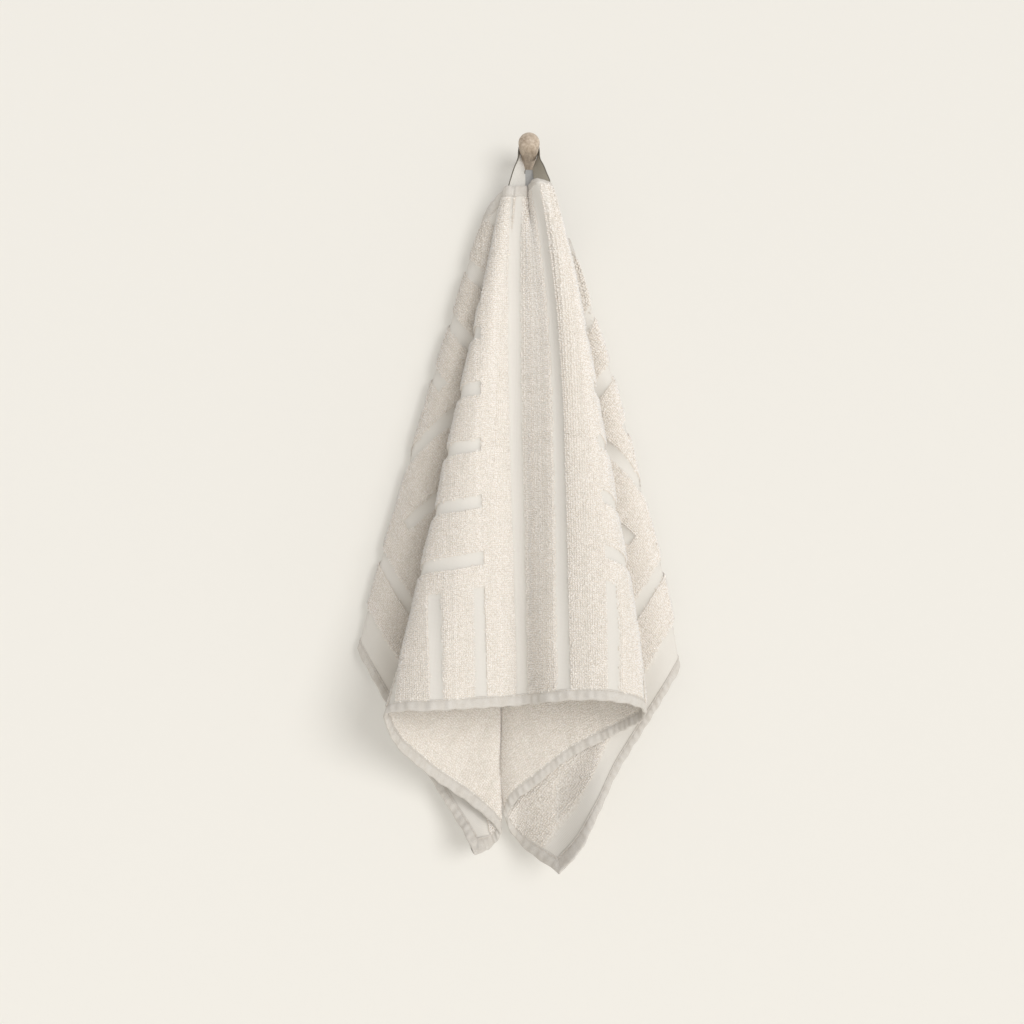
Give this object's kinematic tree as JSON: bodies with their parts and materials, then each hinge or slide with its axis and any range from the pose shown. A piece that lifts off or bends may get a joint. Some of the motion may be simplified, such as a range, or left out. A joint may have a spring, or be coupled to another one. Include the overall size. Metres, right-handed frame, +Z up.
{
  "type": "hand towel on a wall peg",
  "caption": "Off-white terry hand towel with flat-woven bars, hanging folded from its tape loop on a turned wooden wall peg.",
  "frame": {"origin": "centre of the peg's flat face on the wall", "axes": "+X to the right as seen from the room, +Y into the wall, +Z up"},
  "size_m": [0.3173, 0.1475, 0.7165],
  "materials": {
    "cotton_terry": "matte",
    "cotton_tape": "matte",
    "beech_wood": "satin"
  },
  "bodies": {
    "root": {"towel_cloth": "cotton_terry", "loop_tape": "cotton_tape", "wall_peg": "beech_wood"}
  },
  "joints": []
}
